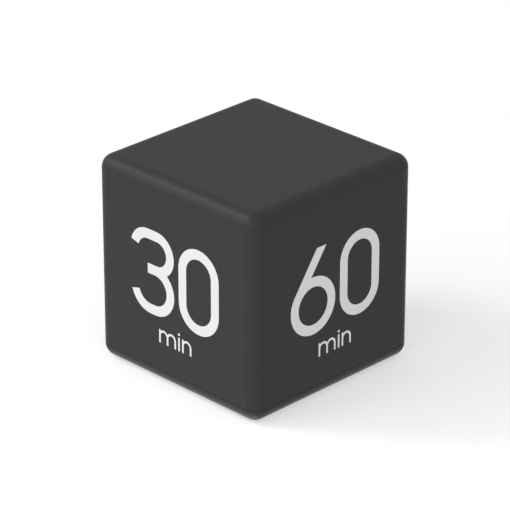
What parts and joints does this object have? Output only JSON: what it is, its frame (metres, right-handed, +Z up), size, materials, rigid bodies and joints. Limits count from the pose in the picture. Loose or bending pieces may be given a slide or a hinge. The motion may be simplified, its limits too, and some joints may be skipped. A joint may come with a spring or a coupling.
{
  "type": "countdown timer cube",
  "caption": "Cube-shaped countdown timer with a number of minutes on each side face; it stands on its display face, and turning a number up starts that time.",
  "frame": {"origin": "centre of the display face, on which the cube stands", "axes": "+Z up out of the blank face; -Y out of the 30 face, +X out of the 60 face, +Y out of the 15 face, -X out of the 20 face"},
  "size_m": [0.062, 0.062, 0.062],
  "materials": {
    "case_plastic": "dark charcoal ABS with a fine spark-eroded grain",
    "numeral_ink": "white pad-printed ink, satin",
    "window": "clear moulded PMMA, polished",
    "display_glass": "thin float glass with a polarising film",
    "reflector_film": "grey-green reflective film",
    "white_plastic": "natural white ABS",
    "contact_rubber": "layered silicone connector strip",
    "board": "FR-4 with green solder mask",
    "epoxy": "black epoxy drop",
    "steel": "nickel-plated steel",
    "capacitor_sleeve": "dark blue shrink sleeve",
    "ferrite": "ferrite drum with enamelled copper winding",
    "chip_ceramic": "ceramic chips with tinned ends",
    "phenolic": "brown phenolic sheet",
    "gilt_brass": "gold-flashed brass",
    "brass": "plain brass sheet",
    "piezo_ceramic": "piezo ceramic with a silvered face",
    "inner_plastic": "black ABS, as moulded",
    "knob_plastic": "light grey ABS, ribbed",
    "foam": "closed-cell foam strip",
    "cell_sleeve": "printed shrink sleeve, plain",
    "red_lead": "PVC insulation",
    "black_lead": "PVC insulation"
  },
  "bodies": {
    "case": {"main_shell": "case_plastic", "display_cover": "case_plastic", "case_screws": "steel", "numeral_30": "numeral_ink", "numeral_60": "numeral_ink", "numeral_15": "numeral_ink", "numeral_20": "numeral_ink", "display_window": "window", "lcd_front_glass": "display_glass", "lcd_rear_glass": "display_glass", "lcd_reflector": "reflector_film", "lcd_frame": "white_plastic", "contact_strip": "contact_rubber", "circuit_board": "board", "board_screws": "steel", "controller_chip": "epoxy", "crystal": "steel", "capacitor": "capacitor_sleeve", "inductor": "ferrite", "surface_parts": "chip_ceramic", "switch_frame": "steel", "switch_base": "phenolic", "switch_terminals": "gilt_brass", "tilt_can_a": "gilt_brass", "tilt_can_b": "gilt_brass", "tilt_can_c": "gilt_brass", "tilt_header_a": "inner_plastic", "tilt_header_b": "inner_plastic", "tilt_header_c": "inner_plastic", "battery_holder": "inner_plastic", "holder_screws": "steel", "battery_a": "cell_sleeve", "battery_b": "cell_sleeve", "bridge_contact": "steel", "positive_contact": "steel", "negative_contact": "steel", "buzzer_plate": "brass", "buzzer_ceramic": "piezo_ceramic", "battery_lead_red": "red_lead", "battery_lead_black": "black_lead", "buzzer_lead_red": "red_lead", "buzzer_lead_black": "black_lead"},
    "switch": {"switch_knob": "knob_plastic", "switch_slider": "inner_plastic", "switch_wiper": "gilt_brass"},
    "battery_door": {"battery_door": "case_plastic", "door_foam": "foam"},
    "tilt_ball_a": {"tilt_ball_a": "steel"},
    "tilt_ball_b": {"tilt_ball_b": "steel"},
    "tilt_ball_c": {"tilt_ball_c": "steel"}
  },
  "joints": [
    {"name": "switch_slide", "type": "slide", "parent": "case", "child": "switch", "axis": [1, 0, 0], "range_m": [0, 0.004]},
    {"name": "door_hinge", "type": "hinge", "parent": "case", "child": "battery_door", "pos_m": [0, 0.00302, 0], "axis": [1, 0, 0], "range_deg": [0, 70]},
    {"name": "ball_a_roll", "type": "slide", "parent": "case", "child": "tilt_ball_a", "axis": [0.7071, 0.7071, 0], "range_m": [0, 0.0014]},
    {"name": "ball_b_roll", "type": "slide", "parent": "case", "child": "tilt_ball_b", "axis": [0.7071, -0.7071, 0], "range_m": [0, 0.0014]},
    {"name": "ball_c_drop", "type": "slide", "parent": "case", "child": "tilt_ball_c", "axis": [0, 0, 1], "range_m": [0, 0.0014]}
  ]
}
